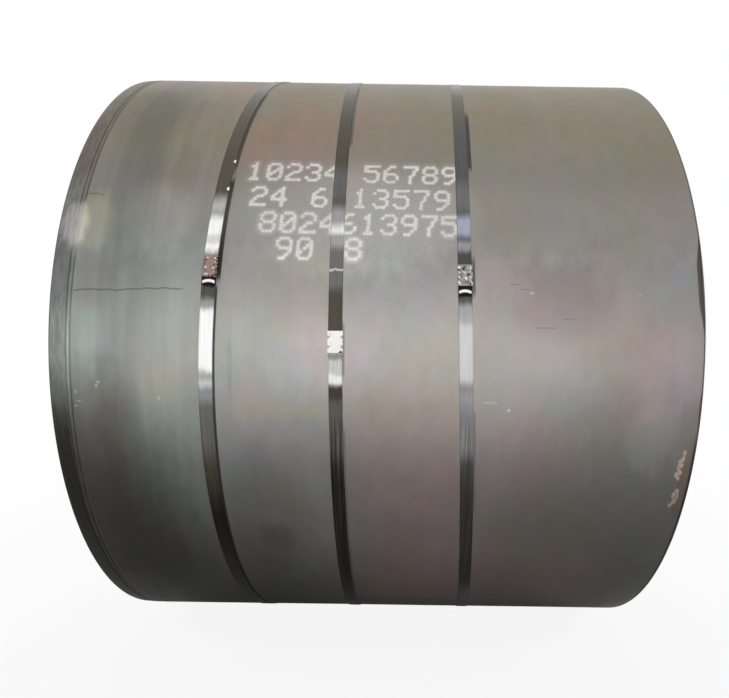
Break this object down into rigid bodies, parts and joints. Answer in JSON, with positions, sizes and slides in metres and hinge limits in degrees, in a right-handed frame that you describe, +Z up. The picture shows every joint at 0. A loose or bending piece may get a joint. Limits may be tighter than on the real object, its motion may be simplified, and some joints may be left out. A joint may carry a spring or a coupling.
{
  "type": "steel coil",
  "caption": "Wide coil of thick hot-rolled steel strip on its side, open bore through the middle, held round by flat steel straps with crimped seals.",
  "frame": {"origin": "the middle of the bore, half way along the coil's width", "axes": "+X along the bore to the right as the straps and seals are seen, +Y away from the seals to the back, +Z up with the coil lying on its side"},
  "size_m": [1.506, 1.8463, 1.8426],
  "materials": {
    "mill_scale": "hot-rolled mill scale, satin, with faint brown and blue-green stains",
    "strap_steel": "bright cold-rolled strapping with a dark oiled film",
    "seal_steel": "bright pressed steel with crimp marks",
    "seal_rusted": "pressed steel with a brown film of rust"
  },
  "bodies": {
    "root": {"coil": "mill_scale", "strap_left": "strap_steel", "strap_middle": "strap_steel", "strap_right": "strap_steel", "seal_left": "seal_rusted", "seal_middle": "seal_steel", "seal_right": "seal_steel"}
  },
  "joints": []
}
